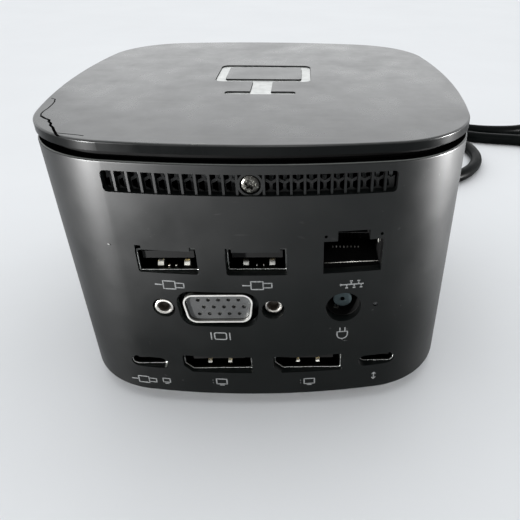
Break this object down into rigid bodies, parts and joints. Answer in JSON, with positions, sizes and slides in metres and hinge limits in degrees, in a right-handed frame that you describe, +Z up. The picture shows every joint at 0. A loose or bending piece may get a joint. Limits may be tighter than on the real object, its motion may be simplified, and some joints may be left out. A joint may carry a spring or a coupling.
{
  "type": "laptop docking station",
  "caption": "Rounded-cube laptop dock with video, network, USB and power sockets on one face and a captive USB-C cable.",
  "frame": {"origin": "middle of the dock's footprint on the table, without the cable", "axes": "+Z up, -Y out of the socket face, +X to the right when looking at the socket face"},
  "size_m": [0.2659, 0.2339, 0.07],
  "materials": {
    "shell": "fine satin texture",
    "lid": "smooth satin",
    "emblem": "satin inlay",
    "carrier": "matte",
    "base": "matte",
    "foot": "matte",
    "screw": "black oxide",
    "screen": "moulded honeycomb",
    "board": "solder mask",
    "post": "plated",
    "link": "moulded",
    "sink": "as extruded",
    "fan": "moulded",
    "bearing": "sintered",
    "socket_metal": "nickel plated",
    "socket_plastic": "moulded",
    "nickel": "nickel plated",
    "lock": "plain",
    "light": "clear light pipe",
    "button": "satin",
    "button_ring": "translucent",
    "switch": "moulded",
    "relief": "moulded",
    "cable": "smooth jacket",
    "plug": "moulded"
  },
  "bodies": {
    "root": {"outer_shell": "shell", "top_lid": "lid", "lid_emblem": "emblem", "lid_carrier": "carrier", "base_plate": "base", "foot_ring": "foot", "base_screws": "screw", "vent_screw": "screw", "vent_screen": "screen", "lower_board": "board", "middle_board": "board", "upper_board": "board", "posts_lower": "post", "posts_middle": "post", "posts_upper": "post", "posts_top": "post", "lid_posts": "post", "board_link_lower": "link", "board_link_upper": "link", "heat_sink": "sink", "fan_housing": "fan", "fan_cover": "fan", "fan_bearing": "bearing", "usb_a_left_shell": "socket_metal", "usb_a_right_shell": "socket_metal", "usb_a_side_shell": "socket_metal", "displayport_left_shell": "socket_metal", "displayport_right_shell": "socket_metal", "usb_c_left_shell": "socket_metal", "usb_c_right_shell": "socket_metal", "usb_c_front_shell": "socket_metal", "plug_tip": "socket_metal", "usb_a_left_tongue": "socket_plastic", "usb_a_right_tongue": "socket_plastic", "usb_a_side_tongue": "socket_plastic", "displayport_left_tongue": "socket_plastic", "displayport_right_tongue": "socket_plastic", "usb_c_left_tongue": "socket_plastic", "usb_c_right_tongue": "socket_plastic", "usb_c_front_tongue": "socket_plastic", "ethernet_jack": "socket_plastic", "dc_socket": "socket_plastic", "audio_jack": "socket_plastic", "vga_insert": "socket_plastic", "vga_shell": "nickel", "vga_jackscrews": "nickel", "dc_post": "nickel", "lock_plate": "lock", "status_light": "light", "button_ring": "button_ring", "button_switch": "switch", "cable_relief": "relief", "host_cable": "cable", "plug_body": "plug"},
    "button": {"power_button": "button", "button_plunger": "switch"},
    "rotor": {"fan_rotor": "fan"}
  },
  "joints": [
    {"name": "power_button_press", "type": "slide", "parent": "root", "child": "button", "axis": [0, -1, 0], "range_m": [0, 0.0006], "stiffness_N_per_m": 2500, "springref_m": -0.0002},
    {"name": "fan_spin", "type": "hinge", "parent": "root", "child": "rotor", "pos_m": [0, 0.007, 0.058], "axis": [0, 0, 1], "continuous": true}
  ]
}
